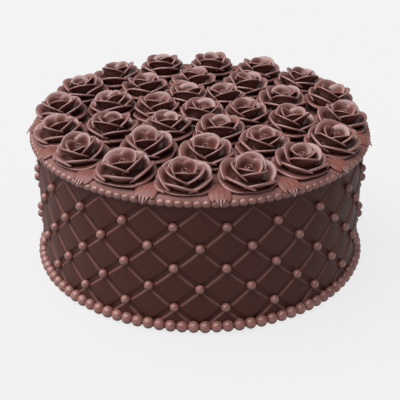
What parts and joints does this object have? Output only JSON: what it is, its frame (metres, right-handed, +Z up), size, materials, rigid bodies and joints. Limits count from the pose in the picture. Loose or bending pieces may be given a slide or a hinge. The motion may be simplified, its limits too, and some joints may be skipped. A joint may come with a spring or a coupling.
{
  "type": "layer cake",
  "caption": "Round chocolate layer cake with a quilted side, pearls, beaded borders and a top covered with chocolate roses and leaves.",
  "frame": {"origin": "centre of the cake's flat bottom, on the surface it stands on", "axes": "+Z up through the cake's centre; -Y faces the viewer of the picture; +X to the viewer's right"},
  "size_m": [0.2648, 0.2648, 0.1223],
  "materials": {
    "coating": "satin dark milk chocolate coating",
    "rose": "satin modelled chocolate petals",
    "leaf": "satin chocolate leaves"
  },
  "bodies": {
    "root": {"cake": "coating", "rose_outer_01": "rose", "rose_outer_02": "rose", "rose_outer_03": "rose", "rose_outer_04": "rose", "rose_outer_05": "rose", "rose_outer_06": "rose", "rose_outer_07": "rose", "rose_outer_08": "rose", "rose_outer_09": "rose", "rose_outer_10": "rose", "rose_outer_11": "rose", "rose_outer_12": "rose", "rose_outer_13": "rose", "rose_outer_14": "rose", "rose_outer_15": "rose", "rose_outer_16": "rose", "rose_middle_01": "rose", "rose_middle_02": "rose", "rose_middle_03": "rose", "rose_middle_04": "rose", "rose_middle_05": "rose", "rose_middle_06": "rose", "rose_middle_07": "rose", "rose_middle_08": "rose", "rose_middle_09": "rose", "rose_middle_10": "rose", "rose_inner_01": "rose", "rose_inner_02": "rose", "rose_inner_03": "rose", "rose_inner_04": "rose", "rose_inner_05": "rose", "rose_inner_06": "rose", "rose_centre": "rose", "leaf_01": "leaf", "leaf_02": "leaf", "leaf_03": "leaf", "leaf_04": "leaf", "leaf_05": "leaf", "leaf_06": "leaf", "leaf_07": "leaf", "leaf_08": "leaf", "leaf_09": "leaf", "leaf_10": "leaf", "leaf_11": "leaf", "leaf_12": "leaf", "leaf_13": "leaf", "leaf_14": "leaf", "leaf_15": "leaf", "leaf_16": "leaf"}
  },
  "joints": []
}
